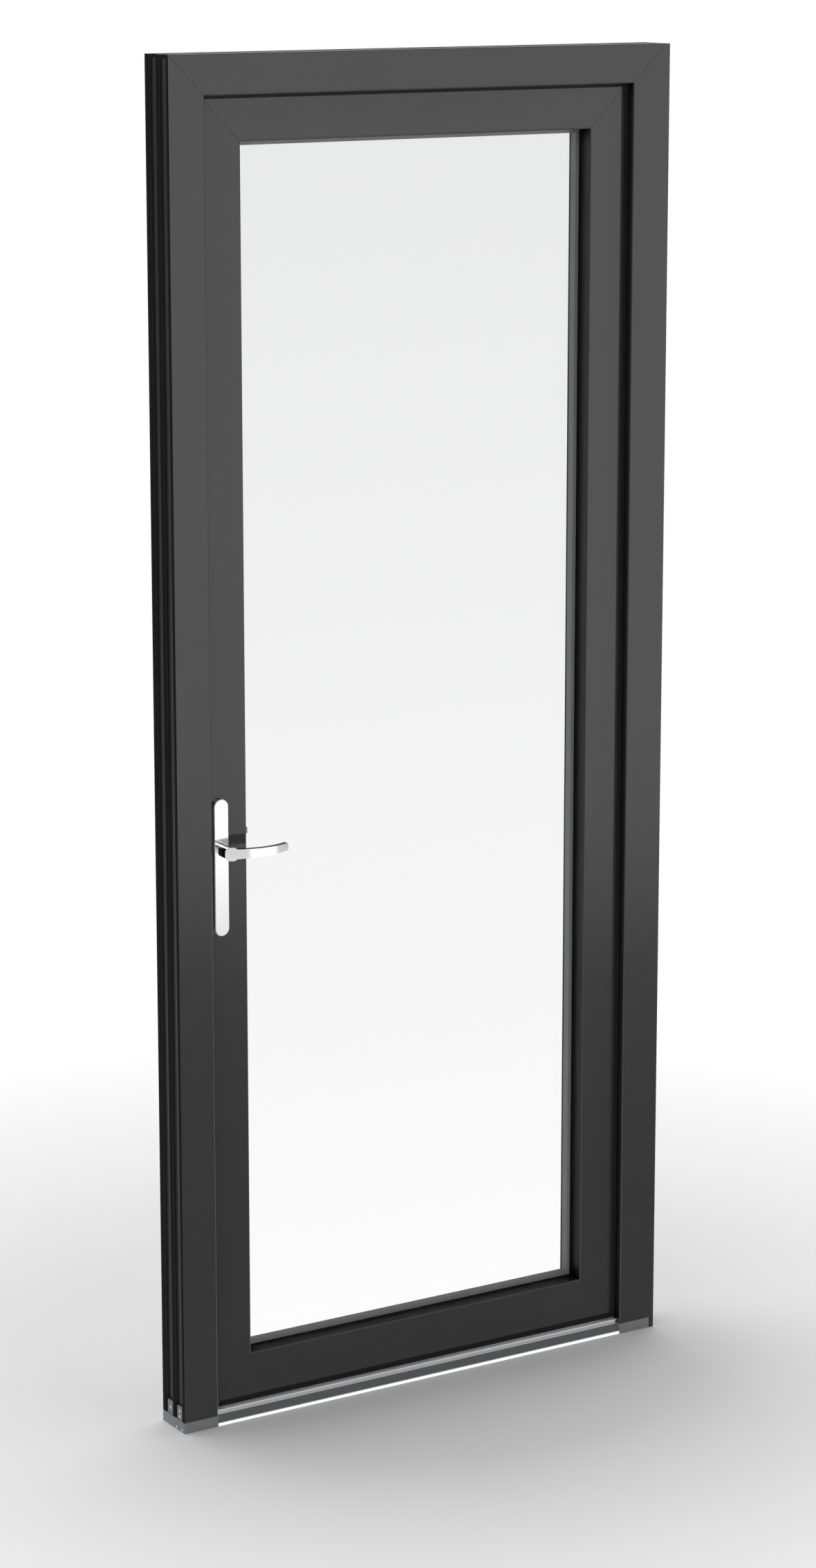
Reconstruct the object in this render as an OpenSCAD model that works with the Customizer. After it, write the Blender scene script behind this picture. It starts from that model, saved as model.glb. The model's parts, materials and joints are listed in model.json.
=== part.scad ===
// Inward-opening glass terrace door in its frame, seen from outside along +Y.
// Origin: underside of the threshold, at mid width of the mitred frame and at mid depth.
// +X points right as seen from outside, +Y points to the inside, +Z points up.

/* [Frame] */
// Width over the mitred frame
frame_w = 1000; // [850:10:1200]
// Height of the frame above the floor
frame_h = 2400; // [2200:10:2600]
// Depth of the frame from the outer to the inner face
frame_d = 80; // [78:1:90]
// Width of the frame's outer face
frame_face = 68; // [66:1:76]
// Width of the rebate stop that forms the inner part of that face
stop_w = 19.5; // [18:0.5:21]
// Thickness of the rebate stop
stop_t = 16; // [14:0.5:16.5]
// Outer wall of the frame and leaf profiles
wall = 3; // [2.5:0.1:3.2]
// Inner webs of the frame and leaf profiles
web = 2.5; // [1.8:0.1:2.6]
// Rounding of the visible long edges towards the opening
edge_r = 2.5; // [1:0.5:3]
// Rounding of the frame's outermost front edges
outer_r = 1.2; // [0.6:0.2:2]
// Width of the seam at a mitred corner
seam_w = 0.4; // [0.2:0.1:0.6]
// Depth of that seam
seam_d = 0.8; // [0.4:0.1:1.2]
// Depth of the two anchor grooves in the outer side
groove_depth = 6; // [4.5:0.5:7]
// Distance of the front groove from the outer face
front_groove_y = 8; // [7:0.5:10]
// Width of the front groove
front_groove_w = 28; // [25:0.5:28]
// Distance of the rear groove from the outer face
rear_groove_y = 43; // [41:0.5:45]
// Width of the rear groove
rear_groove_w = 27; // [24:0.5:28]
// Depth of the front chamber in the frame profile
front_chamber_d = 10.5; // [8:0.5:10.5]
// Depth of the rear chamber in the frame profile
rear_chamber_d = 16.5; // [12:0.5:18]
// Wall of the steel reinforcement
steel_t = 2; // [1.5:0.25:2.5]
// Distance of the steel's ends from the profile's ends
steel_setback = 80; // [75:5:120]
// Thickness of the extension strip on the right side
strip_w = 10; // [9:0.5:16]

/* [Threshold] */
// Height of the end blocks and of the threshold's inner part
sill_h = 20; // [18:0.5:22]
// Height of the rail that stands up at the outside
rail_h = 29; // [28:0.5:30]
// Distance of the rail's front face from the outer face
rail_y = 8; // [7:0.5:9]
// Height of the front lip
lip_h = 6; // [5:0.5:7]
// Width of the front lip
lip_w = 3; // [2.5:0.5:4]
// Lean of the lip's front face over its height
lip_lean = 0.8; // [0.2:0.1:1]
// Height at which the slope behind the lip meets the rail's upright face
slope_z = 19; // [16:0.5:22]
// Depth of the outer aluminium profile
sill_outer_d = 30; // [26:1:32]
// Depth of the insulating insert between the two profiles
insert_d = 18; // [14:1:22]
// Wall of the threshold profiles
sill_t = 2.2; // [1.6:0.2:2.4]
// Width of the rail's ledge, from its front face to the raised rear part
ledge_w = 5; // [4:0.5:5.5]
// Reach of the rounded nose at the ledge's front edge
nose = 0.8; // [0.4:0.1:1]
// Distance of the rail's rear part from the left jamb
rear_left = 15; // [10:0.5:20]
// Distance of the rail's rear part from the right jamb
rear_right = 9; // [8:0.5:20]
// Distance of the rear part's end caps from the jambs
cap_gap = 3.5; // [2:0.5:5]
// Height of the end block's legs above the block
leg_h = 24.5; // [22:0.5:40]
// Width of the front leg
front_leg_w = 17; // [14:0.5:22]
// Width of the rear leg
rear_leg_w = 18; // [14:0.5:22]
// Radius of the screw heads in the end blocks
screw_head_r = 2.6; // [2:0.1:2.8]

/* [Leaf] */
// Distance of the leaf's face behind the frame's face
leaf_recess = 19.5; // [19:0.1:20]
// Gap between the leaf's edge and the rebate, where the fittings sit
rebate_air = 12; // [11.5:0.1:12.5]
// Gap between the leaf's lower edge and the threshold
sill_air = 11.5; // [11:0.5:14]
// Width of the leaf's face from its edge to the glass opening
leaf_face = 86; // [84:1:96]
// Width of the inner lap beyond the leaf's edge
lap_w = 20; // [18:0.5:20.5]
// Thickness of the inner lap
lap_t = 7.5; // [6.5:0.5:9]
// Gap between the lap and the frame's inner face
lap_gap = 2; // [1.5:0.1:3]
// Distance of the fitting groove's axis from the lap
fitting_axis = 13; // [12.5:0.1:13.5]
// Width of the fitting groove's mouth
fitting_groove_w = 16; // [15.5:0.1:16]
// Width of the drive rail's channel
channel_w = 12.6; // [12.2:0.1:13]
// Depth of the drive rail's channel
channel_d = 6.5; // [6.2:0.1:7.5]
// Width of the leaf's steel chamber
leaf_steel_w = 15.5; // [12:0.5:16]
// Depth of the leaf's front chamber
leaf_front_d = 11; // [9:0.5:11.5]

/* [Glazing] */
// Width of the leg that covers the glass edge
glass_leg_w = 17; // [16:0.5:20]
// Depth of that leg
glass_leg_d = 26; // [24:0.5:26.5]
// Cover of the leg over the glass
glass_cover = 12; // [11:0.5:14]
// Thickness of each pane
pane_t = 4; // [3.5:0.5:4]
// Distance between the panes
cavity = 16; // [15:0.5:16.5]
// Width of the spacer bar that shows inside the leg's edge
spacer_show = 8; // [5:0.5:9]
// Thickness of the sealing film between the spacer bar and each pane
film_t = 0.3; // [0.2:0.05:0.5]
// Width of the outer glazing gasket that shows inside the leg's edge
gasket_show = 1.2; // [0.6:0.2:2.4]
// Thickness of the outer glazing gasket
outer_gasket_t = 4.5; // [4:0.1:5]
// Thickness of the inner glazing gasket
inner_gasket_t = 3.5; // [3:0.1:4]
// Length of a setting block
block_l = 100; // [60:10:120]

/* [Hinges] */
// Radius of the hinge barrel
barrel_r = 10; // [9:0.5:10.5]
// Length of a hinge
hinge_l = 110; // [90:5:130]
// Radius of the hinge pin
pin_r = 4; // [3.5:0.1:4.5]
// Gap between the barrel and the frame's inner face
barrel_gap = 3; // [2.5:0.5:4]
// Height of the lowest hinge
hinge_low_z = 230; // [200:10:300]
// Distance of the highest hinge from the frame's top
hinge_high_drop = 230; // [200:10:300]
// Thickness of the hinge's leaf plate
hinge_t = 4; // [3:0.5:4.5]
// Width of the hinge's frame plate
frame_plate_w = 34; // [30:1:36]
// Width of the hinge's leaf plate
leaf_plate_w = 52; // [40:1:60]

/* [Handle] */
// Height of the handle's spindle above the floor
spindle_z = 1045.5; // [950:0.5:1100]
// Distance of the spindle from the leaf's edge
backset = 32.25; // [31.75:0.25:32.5]
// Side of the square spindle
spindle_s = 8; // [7:0.5:8]
// Width of the backplate
plate_w = 28; // [27:0.5:30]
// Height of the backplate
plate_h = 243; // [220:1:260]
// Thickness of the backplate
plate_t = 8; // [7:0.5:9]
// Distance of the backplate's top above the spindle
plate_top = 90; // [80:1:100]
// Chamfer of the backplate's front edge
plate_chamfer = 1.2; // [0.6:0.2:1.6]
// Length of the lever from the spindle to its tip
lever_l = 112; // [100:1:130]
// Distance of the lever's front from the leaf, at the spindle
lever_proj = 43.5; // [40:0.5:50]
// Bow of the lever's grip
lever_bow = 13.5; // [10:0.5:15]
// Thickness of the lever's grip
lever_t = 10; // [8:0.5:11]
// Height of the grip beside the hub
grip_h = 17; // [15:0.5:18]
// Height of the grip at its tip
grip_tip_h = 12.5; // [11:0.5:15]
// Width of the lever's hub
hub_w = 20; // [18:0.5:22]
// Height of the lever's hub
hub_h = 24; // [22:0.5:25]
// Radius of the hub's corners
hub_round = 8; // [6:0.5:8.5]
// Radius of the lever's journal in the backplate
journal_r = 8; // [7.5:0.1:8.5]

/* [Lock] */
// Travel of the drive rail for a quarter turn of the lever
rail_travel = 18; // [16:0.5:19]
// Teeth on the pinion
pinion_teeth = 18; // [16:1:20]
// Width of the pinion and the rack
gear_w = 8; // [7:0.5:8.5]
// Thickness of the drive rail
drive_t = 3; // [2.5:0.1:3]
// Width of the drive rail
drive_w = 12; // [11.6:0.1:12]
// Thickness of the faceplate
faceplate_t = 2.5; // [2:0.1:2.5]
// Radius of the locking rollers
roller_r = 4.5; // [4:0.1:4.6]
// Reach of the rollers beyond the leaf's edge
roller_reach = 8.5; // [8:0.1:9]
// Height of the lowest locking point, unlocked
lock_low = 300; // [260:10:400]
// Height of the second locking point, unlocked
lock_below = 720; // [560:10:800]
// Height of the third locking point, unlocked
lock_above = 1480; // [1300:10:1600]
// Distance of the highest locking point from the frame's top, unlocked
lock_high_drop = 340; // [300:10:420]
// Room for the rack beyond its travel, at each end of the gearbox
rack_room = 12; // [11:0.5:14]
// Length of the faceplate beyond the outermost locking points
faceplate_end = 80; // [60:5:100]

/* [Clearances] */
// Radial clearance of a turning fit
turn_fit = 0.05; // [0.03:0.01:0.08]
// Clearance between a gasket's lip and the face that it seals
seal_gap = 0.3; // [0.2:0.05:0.4]
// Clearance of a piece that slides into a profile
slide_fit = 0.3; // [0.2:0.05:0.4]
// Gap between parts that pass each other
pass_gap = 0.4; // [0.3:0.05:0.6]
// Backlash of the pinion and of the rack
backlash = 0.3; // [0.2:0.05:0.4]

/* [Hidden] */
$fn = 48;
ANTHRACITE = [0.25, 0.25, 0.26];
BLACK = [0.06, 0.06, 0.06];
ALUMINIUM = [0.72, 0.74, 0.75];
GREY_PLASTIC = [0.36, 0.38, 0.39];
SATIN = [0.78, 0.78, 0.79];
ZINC = [0.62, 0.64, 0.66];
GLASS = [0.85, 0.92, 0.92, 0.4];

// Sides of a rectangular ring, in the order in which they run round it
LEFT = 0;
TOP = 1;
RIGHT = 2;
BOTTOM = 3;

front_y = -frame_d / 2;
body_w = frame_face - stop_w;
edge_in = body_w + rebate_air;
leaf_w = frame_w - 2 * edge_in;
leaf_z = sill_h + sill_air;
leaf_h = frame_h - edge_in - leaf_z;
leaf_y = front_y + leaf_recess;
leaf_d = frame_d + lap_gap + lap_t - leaf_recess;
glass_v = glass_leg_d + outer_gasket_t;
unit_t = 2 * pane_t + cavity;
bead_v = glass_v + unit_t + inner_gasket_t;
rebate_u = leaf_face - glass_leg_w;
glass_u = leaf_face - glass_cover;
fitting_v = leaf_d - lap_t - fitting_axis;
fitting_y = leaf_y + fitting_v;
leaf_edge_x = -leaf_w / 2;
spindle_x = leaf_edge_x + backset;
pitch_r = rail_travel / (PI / 2);
hinge_x = frame_w / 2 - edge_in + lap_w + barrel_r + 1.5;
hinge_y = front_y + frame_d + barrel_r + barrel_gap;
hinge_z = [hinge_low_z, (hinge_low_z + frame_h - hinge_high_drop) / 2, frame_h - hinge_high_drop];
lock_high = frame_h - lock_high_drop;
lock_z = [lock_low, lock_below, lock_above, lock_high];
lip_reach = 6.5;
gasket_t = leaf_recess - stop_t - seal_gap;
case_up = 50;
case_down = 60;
case_t = fitting_groove_w - 2 * slide_fit;
bolt_r = 2.5;
bolt_inset = 18;

// Points on an arc from angle a to angle b
function arc(c, r, a, b, n = 5) = [for (i = [0 : n]) c + r * [cos(a + (b - a) * i / n), sin(a + (b - a) * i / n)]];

// Places a bar on side k of a ring of width w and height h: local X runs inwards, local Z along the side
module on_side(k, w, h) {
  translate([k < RIGHT ? -w / 2 : w / 2, 0, (k == TOP || k == RIGHT) ? h : 0])
    rotate([0, 90 * k, 0])
      children();
}

function side_length(k, w, h) = k % 2 == 0 ? h : w;

// Extrudes a profile along one side and mitres the ends that are asked for;
// a seam draws the mitred ends back on the front and the rear face
module bar(length, low, high, depth, cuts = [1, 1], seam = 0) {
  margin = 1;
  a = low - margin;
  b = high + margin;
  intersection() {
    translate([0, 0, min(a, 0)])
      linear_extrude(length - 2 * min(a, 0))
        children();
    union() {
      between_mitres(length, a, b, [seam_d * seam, depth - seam_d * seam], cuts, 0);
      if (seam > 0)
        between_mitres(length, a, b, [-depth, 2 * depth], cuts, seam_w / sqrt(2));
    }
  }
}

// Block between two mitre planes, over the depths in v and drawn back by inset
module between_mitres(length, a, b, v, cuts, inset) {
  low_end = cuts[0] * inset;
  high_end = length - cuts[1] * inset;
  translate([0, v[1], 0])
    rotate([90, 0, 0])
      linear_extrude(v[1] - v[0])
        polygon([
          [a, low_end + cuts[0] * a], [b, low_end + cuts[0] * b],
          [b, high_end - cuts[1] * b], [a, high_end - cuts[1] * a]
        ]);
}

// A whole mitred ring of one profile
module ring(w, h, low, high, depth) {
  for (k = [LEFT : BOTTOM])
    on_side(k, w, h)
      bar(side_length(k, w, h), low, high, depth)
        children();
}

module rect(u, v) {
  translate([u[0], v[0]])
    square([u[1] - u[0], v[1] - v[0]]);
}

// Frame profile: X from the outer side towards the opening, Y from the outer face to the inside
module frame_profile(outer_corner) {
  chamber_u = [groove_depth + wall, body_w - wall];
  main_v = frame_main_v();
  difference() {
    polygon(concat(
      outer_corner,
      arc([frame_face - edge_r, edge_r], edge_r, 270, 360),
      [[frame_face, stop_t], [body_w, stop_t], [body_w, frame_d], [0, frame_d]],
      groove_points(rear_groove_y, rear_groove_w),
      groove_points(front_groove_y, front_groove_w)
    ));
    rect(chamber_u, [wall, wall + front_chamber_d]);
    rect(chamber_u, main_v);
    rect(chamber_u, [main_v[1] + web, frame_d - wall]);
    rect([body_w - wall + web, frame_face - wall], [wall, stop_t - wall]);
  }
}

// Outer front corner, rounded where it is bare and square where the strip meets it
bare_corner = arc([outer_r, outer_r], outer_r, 180, 270);
joined_corner = [[0, 0]];

function groove_points(y, w) = [[0, y + w], [groove_depth, y + w], [groove_depth, y], [0, y]];

function frame_main_v() = [wall + front_chamber_d + web, frame_d - wall - rear_chamber_d - web];

module frame_steel_profile() {
  u = [groove_depth + wall + slide_fit, body_w - wall - slide_fit];
  v = frame_main_v() + [slide_fit, -slide_fit];
  difference() {
    rect(u, v);
    rect(u + [steel_t, -steel_t], v + [steel_t, -steel_t]);
  }
}

// Jambs stand on the end blocks and are mitred at the top
module jamb(k) {
  length = frame_h - sill_h;
  translate([0, front_y, sill_h])
    on_side(k, frame_w, length)
      bar(length, 0, frame_face, frame_d, k == LEFT ? [0, 1] : [1, 0], 1)
        frame_profile(k == LEFT ? bare_corner : joined_corner);
}

module left_jamb() {
  color(ANTHRACITE)
    difference() {
      jamb(LEFT);
      keep_screw_holes();
    }
}

module right_jamb() {
  color(ANTHRACITE)
    jamb(RIGHT);
}

module head() {
  color(ANTHRACITE)
    translate([0, front_y, 0])
      on_side(TOP, frame_w, frame_h)
        bar(frame_w, 0, frame_face, frame_d, seam = 1)
          frame_profile(bare_corner);
}

// Galvanised tubes inside the main chambers of the jambs and the head
module frame_steel() {
  jamb_l = frame_h - sill_h;
  color(ZINC)
    translate([0, front_y, 0]) {
      for (k = [LEFT, RIGHT])
        translate([0, 0, sill_h])
          on_side(k, frame_w, jamb_l)
            translate([0, 0, k == LEFT ? 0 : steel_setback])
              linear_extrude(jamb_l - steel_setback)
                frame_steel_profile();
      on_side(TOP, frame_w, frame_h)
        translate([0, 0, steel_setback])
          linear_extrude(frame_w - 2 * steel_setback)
            frame_steel_profile();
    }
}

// Flat extension on the right side, clipped into both grooves of the right jamb
module side_strip() {
  clip_t = 2.5;
  clip_d = groove_depth - 1;
  clip_z = sill_h + leg_h + 20;
  color(ANTHRACITE)
    translate([frame_w / 2, front_y, 0]) {
      linear_extrude(frame_h)
        difference() {
          polygon(concat(
            [[0, 0]],
            arc([strip_w - outer_r, outer_r], outer_r, 270, 360),
            [[strip_w, frame_d], [0, frame_d]]
          ));
          for (v = [wall, (frame_d + web) / 2])
            rect([wall, strip_w - wall], [v, v + (frame_d - web) / 2 - wall]);
        }
      translate([0, 0, clip_z])
        linear_extrude(frame_h - clip_z - frame_face)
          for (v = [
            front_groove_y + slide_fit, front_groove_y + front_groove_w - clip_t - slide_fit,
            rear_groove_y + slide_fit, rear_groove_y + rear_groove_w - clip_t - slide_fit
          ])
            rect([-clip_d, 0], [v, v + clip_t]);
    }
}

// Black lip on the back of the stop, against the leaf's face
module stop_gasket() {
  root_u = frame_face - 8;
  foot_z = rail_h + bead_h + pass_gap;
  length = frame_h - foot_z;
  color(BLACK)
    translate([0, front_y, 0])
      for (k = [LEFT, TOP, RIGHT])
        translate([0, 0, k == TOP ? 0 : foot_z])
          on_side(k, frame_w, k == TOP ? frame_h : length)
            bar(k == TOP ? frame_w : length, root_u, frame_face + lip_reach, frame_d,
                [k == LEFT ? 0 : 1, k == RIGHT ? 0 : 1])
              polygon([
                [root_u, stop_t], [frame_face - 0.5, stop_t],
                [frame_face + lip_reach - 0.5, stop_t + gasket_t - 1],
                [frame_face + lip_reach, stop_t + gasket_t - 0.4],
                [frame_face + lip_reach - 0.6, stop_t + gasket_t], [root_u, stop_t + gasket_t]
              ]);
}

// Threshold sections: X is the depth from the outer face, Y is the height
module along_sill(x_from, x_to) {
  translate([x_from, front_y, 0])
    rotate([90, 0, 90])
      linear_extrude(x_to - x_from)
        children();
}

sill_x = frame_w / 2 - frame_face;
rear_x = [-sill_x + rear_left, sill_x - rear_right];
ledge_end = rail_y + ledge_w;
bead_h = 1.6;

// Outer profile: front lip, slope and ledge over the whole width, and a raised rear part before the leaf
module threshold_outer() {
  ledge_z = rail_h - 1;
  color(ALUMINIUM) {
    along_sill(-sill_x, sill_x)
      difference() {
        polygon(concat(
          [[0, 0], [0, 0.8]],
          arc([lip_lean + 0.8, lip_h - 0.8], 0.8, 180, 90),
          [[lip_w, lip_h], [rail_y, slope_z]],
          [[rail_y, ledge_z - 2.4], [rail_y - nose, ledge_z - 1.8]],
          arc([rail_y - nose + 1, ledge_z - 1], 1, 180, 90),
          [[ledge_end, ledge_z], [ledge_end, sill_h]],
          [[sill_outer_d, sill_h], [sill_outer_d, 0]]
        ));
        rect([rail_y + sill_t, sill_outer_d - sill_t], [sill_t, sill_h - sill_t]);
      }
    along_sill(rear_x[0], rear_x[1])
      polygon(concat(
        [[ledge_end, sill_h], [ledge_end, rail_h]],
        arc([stop_t - bead_h / 2 - 0.4, rail_h + bead_h / 2], bead_h / 2, 180, 0),
        [[stop_t, rail_h], [stop_t, sill_h]]
      ));
  }
}

// Insulating insert between the outer and inner profiles
module threshold_insert() {
  color(BLACK)
    along_sill(-sill_x, sill_x)
      difference() {
        rect([sill_outer_d, sill_outer_d + insert_d], [0, sill_h]);
        rect([sill_outer_d + sill_t, sill_outer_d + insert_d - sill_t], [sill_t, sill_h - sill_t]);
      }
}

// Inner profile, flush with the frame's inner face
module threshold_inner() {
  start = sill_outer_d + insert_d;
  color(ALUMINIUM)
    along_sill(-sill_x, sill_x)
      difference() {
        polygon([[start, 0], [start, sill_h], [frame_d - 1, sill_h], [frame_d, sill_h - 1], [frame_d, 0]]);
        rect([start + sill_t, frame_d - sill_t], [sill_t, sill_h - sill_t]);
      }
}

// Lip on the back of the rail, against the leaf's face
module threshold_gasket() {
  top_z = leaf_z + lip_reach;
  color(BLACK)
    along_sill(rear_x[0], rear_x[1])
      polygon([
        [stop_t, sill_h + 4], [stop_t + gasket_t - 1, sill_h + 4],
        [stop_t + gasket_t, top_z - 1], [stop_t + gasket_t - 1, top_z],
        [stop_t, rail_h + 1]
      ]);
}

// Small caps that close the rear part and its gasket at both ends
module rail_caps() {
  top_z = rail_h + bead_h;
  color(GREY_PLASTIC)
    for (x = [[-sill_x + cap_gap, rear_x[0]], [rear_x[1], sill_x - cap_gap]])
      along_sill(x[0], x[1])
        polygon(concat(
          [[ledge_end, sill_h]],
          arc([ledge_end + 1.5, top_z - 1.5], 1.5, 180, 90),
          [[stop_t + gasket_t, top_z], [stop_t + gasket_t, sill_h]]
        ));
}

// Centres of the end block's legs and screws, measured from the outer face
front_leg_y = front_groove_y + front_groove_w / 2;
rear_leg_y = rear_groove_y + rear_groove_w / 2;
leg_screws = [[front_leg_y, 5.5], [front_leg_y, 15.5], [rear_leg_y, 11.5]];
side_screws = [[front_leg_y + 8, -16], [front_leg_y - 11, -16]];
leg_t = groove_depth - 2;

// Moulded block under a jamb, with two legs that stand in the jamb's grooves
module end_block(s) {
  color(GREY_PLASTIC)
    mirror([s > 0 ? 1 : 0, 0, 0])
      difference() {
        translate([-frame_w / 2, front_y, 0]) {
          linear_extrude(sill_h)
            polygon(concat(
              bare_corner,
              [[frame_face, 0], [frame_face, frame_d], [0, frame_d]]
            ));
          translate([groove_depth - leg_t, 0, sill_h]) {
            translate([0, front_leg_y - front_leg_w / 2, 0])
              cube([leg_t, front_leg_w, leg_h]);
            translate([0, rear_leg_y - rear_leg_w / 2, 0])
              cube([leg_t, rear_leg_w, leg_h]);
          }
        }
        block_screw_places()
          rotate([0, 90, 0])
            cylinder(r = screw_head_r, h = 2.4, center = true);
      }
}

// Screw axes of the left end block, each on the surface that its head is sunk into
module block_screw_places() {
  for (p = leg_screws)
    translate([-frame_w / 2 + groove_depth - leg_t, front_y + p[0], sill_h + p[1]])
      children();
  for (p = side_screws)
    translate([-frame_w / 2, front_y + p[0], sill_h + p[1]])
      children();
}

module left_end_block() {
  end_block(-1);
}

module right_end_block() {
  end_block(1);
}

// Pan heads of the block screws, each with a round drive recess
module block_screws() {
  head_h = 1.2;
  color(ZINC)
    for (s = [0, 1])
      mirror([s, 0, 0])
        block_screw_places()
          rotate([0, 90, 0])
            difference() {
              cylinder(r = screw_head_r - turn_fit, h = head_h);
              cylinder(r = screw_head_r / 2, h = 1, center = true);
            }
}

// Keeps on the left rebate: each holds a roller only while the rail is raised
keep_base_t = 2;
keep_base_v = 18;
keep_lip_t = 5;

module keep_places() {
  for (z = lock_z)
    translate([-frame_w / 2 + body_w, fitting_y, z])
      children();
}

keep_holes = [-9, rail_travel + 9];

module keeps() {
  lip_y = roller_r + pass_gap;
  lip_low = 2 * roller_r;
  end = rail_travel + roller_r + 8;
  color(ZINC)
    keep_places()
      difference() {
        union() {
          translate([0, lip_y + keep_lip_t - keep_base_v, -roller_r - 9])
            cube([keep_base_t, keep_base_v, end + roller_r + 9]);
          translate([0, lip_y, lip_low])
            cube([rebate_air - 3, keep_lip_t, end - lip_low]);
        }
        for (z = keep_holes)
          translate([0, -4, z])
            rotate([0, 90, 0])
              cylinder(r = 2, h = 3 * keep_base_t, center = true);
      }
}

module keep_screw_holes() {
  keep_places()
    for (z = keep_holes)
      translate([0, -4, z])
        rotate([0, 90, 0])
          cylinder(r = 1.6, h = 3 * wall, center = true);
}

// Leaf profile: X from the leaf's edge towards the glass, Y from the leaf's face to the inside
leaf_web_u = rebate_u - wall;
fitting_u = channel_d + wall;
fitting_half = fitting_groove_w / 2;
mouth_d = faceplate_t + 0.1;

module leaf_profile() {
  steel_u = leaf_web_u - leaf_steel_w;
  front_v = wall + leaf_front_d;
  difference() {
    polygon(concat(
      arc([1, 1], 1, 180, 270),
      arc([leaf_face - edge_r, edge_r], edge_r, 270, 360),
      [[leaf_face, glass_leg_d], [rebate_u, glass_leg_d], [rebate_u, leaf_d]],
      arc([-lap_w + edge_r, leaf_d - edge_r], edge_r, 90, 180),
      [[-lap_w, leaf_d - lap_t], [0, leaf_d - lap_t]],
      [[0, fitting_v + fitting_half + 0.1], [mouth_d, fitting_v + fitting_half + 0.1]],
      [[mouth_d, fitting_v + channel_w / 2], [channel_d, fitting_v + channel_w / 2]],
      [[channel_d, fitting_v - channel_w / 2], [mouth_d, fitting_v - channel_w / 2]],
      [[mouth_d, fitting_v - fitting_half - 0.1], [0, fitting_v - fitting_half - 0.1]]
    ));
    rect([wall, leaf_web_u], [wall, front_v]);
    rect([rebate_u, leaf_face - wall], [wall, glass_leg_d - wall]);
    rect([steel_u, leaf_web_u], leaf_steel_v());
    rect([fitting_u, steel_u - web], [front_v + web, fitting_v - fitting_half - web]);
    rect([fitting_u, steel_u - web], [fitting_v - fitting_half, fitting_v + fitting_half]);
    rect([wall, leaf_web_u], [fitting_v + fitting_half + web, leaf_d - wall]);
  }
}

function leaf_steel_v() = [wall + leaf_front_d + web, fitting_v + fitting_half];

module leaf_side(k) {
  translate([0, leaf_y, leaf_z])
    on_side(k, leaf_w, leaf_h)
      bar(side_length(k, leaf_w, leaf_h), -lap_w, leaf_face, leaf_d, seam = 1)
        leaf_profile();
}

// Stile on the handle side, drilled for the spindle and bolts and milled for the gearbox
module lock_stile() {
  color(ANTHRACITE)
    difference() {
      leaf_side(LEFT);
      through_holes(journal_r + 1, bolt_r + 0.5);
      translate([leaf_edge_x + channel_d - 1, fitting_y - fitting_half, spindle_z - case_down - 1])
        cube([wall + 2, fitting_groove_w, case_up + case_down + 2]);
    }
}

// Holes through the stile for the spindle and the two bolts of the backplates
module through_holes(r, rb) {
  for (h = [[0, r], [plate_top - bolt_inset, rb], [plate_top - plate_h + bolt_inset, rb]])
    translate([spindle_x, leaf_y - 1, spindle_z + h[0]])
      rotate([-90, 0, 0])
        cylinder(r = h[1], h = leaf_d + 2);
}

module hinge_stile() {
  color(ANTHRACITE)
    leaf_side(RIGHT);
}

module top_rail() {
  color(ANTHRACITE)
    leaf_side(TOP);
}

module bottom_rail() {
  color(ANTHRACITE)
    leaf_side(BOTTOM);
}

// Galvanised tubes inside the leaf's four profiles
module leaf_steel() {
  u = [leaf_web_u - leaf_steel_w + slide_fit, leaf_web_u - slide_fit];
  v = leaf_steel_v() + [slide_fit, -slide_fit];
  setback = leaf_face + 10;
  color(ZINC)
    translate([0, leaf_y, leaf_z])
      for (k = [LEFT : BOTTOM])
        on_side(k, leaf_w, leaf_h)
          translate([0, 0, setback])
            linear_extrude(side_length(k, leaf_w, leaf_h) - 2 * setback)
              difference() {
                rect(u, v);
                rect(u + [steel_t, -steel_t], v + [steel_t, -steel_t]);
              }
}

// Ring on the lap, against the frame's inner face
module lap_gasket() {
  v = leaf_d - lap_t;
  color(BLACK)
    translate([0, leaf_y, leaf_z])
      ring(leaf_w, leaf_h, -lap_w, 0, leaf_d)
        rect([-lap_w + 1, -lap_w + 7], [v - lap_gap + seal_gap, v]);
}

module pane(v) {
  color(GLASS)
    translate([-leaf_w / 2 + glass_u, leaf_y + v, leaf_z + glass_u])
      cube([leaf_w - 2 * glass_u, pane_t, leaf_h - 2 * glass_u]);
}

module outer_pane() {
  pane(glass_v);
}

module inner_pane() {
  pane(glass_v + pane_t + cavity);
}

module glazing_ring(u, v) {
  translate([0, leaf_y, leaf_z])
    ring(leaf_w, leaf_h, u[0], u[1], leaf_d)
      rect(u, v);
}

cavity_v = [glass_v + pane_t, glass_v + pane_t + cavity];
seal_w = glass_cover + 0.5;

// Spacer between the panes, with the edge seal outside it
module spacer_bar() {
  color(ALUMINIUM)
    glazing_ring([glass_u + seal_w, leaf_face + spacer_show], cavity_v + [film_t, -film_t]);
}

module edge_seal() {
  color(BLACK)
    glazing_ring([glass_u, glass_u + seal_w], cavity_v);
}

// Wedge gasket between the leg and the outer pane
module outer_glazing_gasket() {
  u = [leaf_face - 7, leaf_face + gasket_show];
  color(BLACK)
    translate([0, leaf_y, leaf_z])
      ring(leaf_w, leaf_h, u[0], u[1], leaf_d)
        polygon([
          [u[0], glass_leg_d], [leaf_face, glass_leg_d],
          [u[1], glass_v - 0.8], [u[1], glass_v], [u[0], glass_v]
        ]);
}

module inner_glazing_gasket() {
  u = leaf_face - 8;
  v = glass_v + unit_t;
  color(BLACK)
    translate([0, leaf_y, leaf_z])
      ring(leaf_w, leaf_h, u, leaf_face + 1, leaf_d)
        polygon([[u, v], [leaf_face + 1, v], [leaf_face + 1, v + 0.8], [leaf_face, bead_v], [u, bead_v]]);
}

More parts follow.
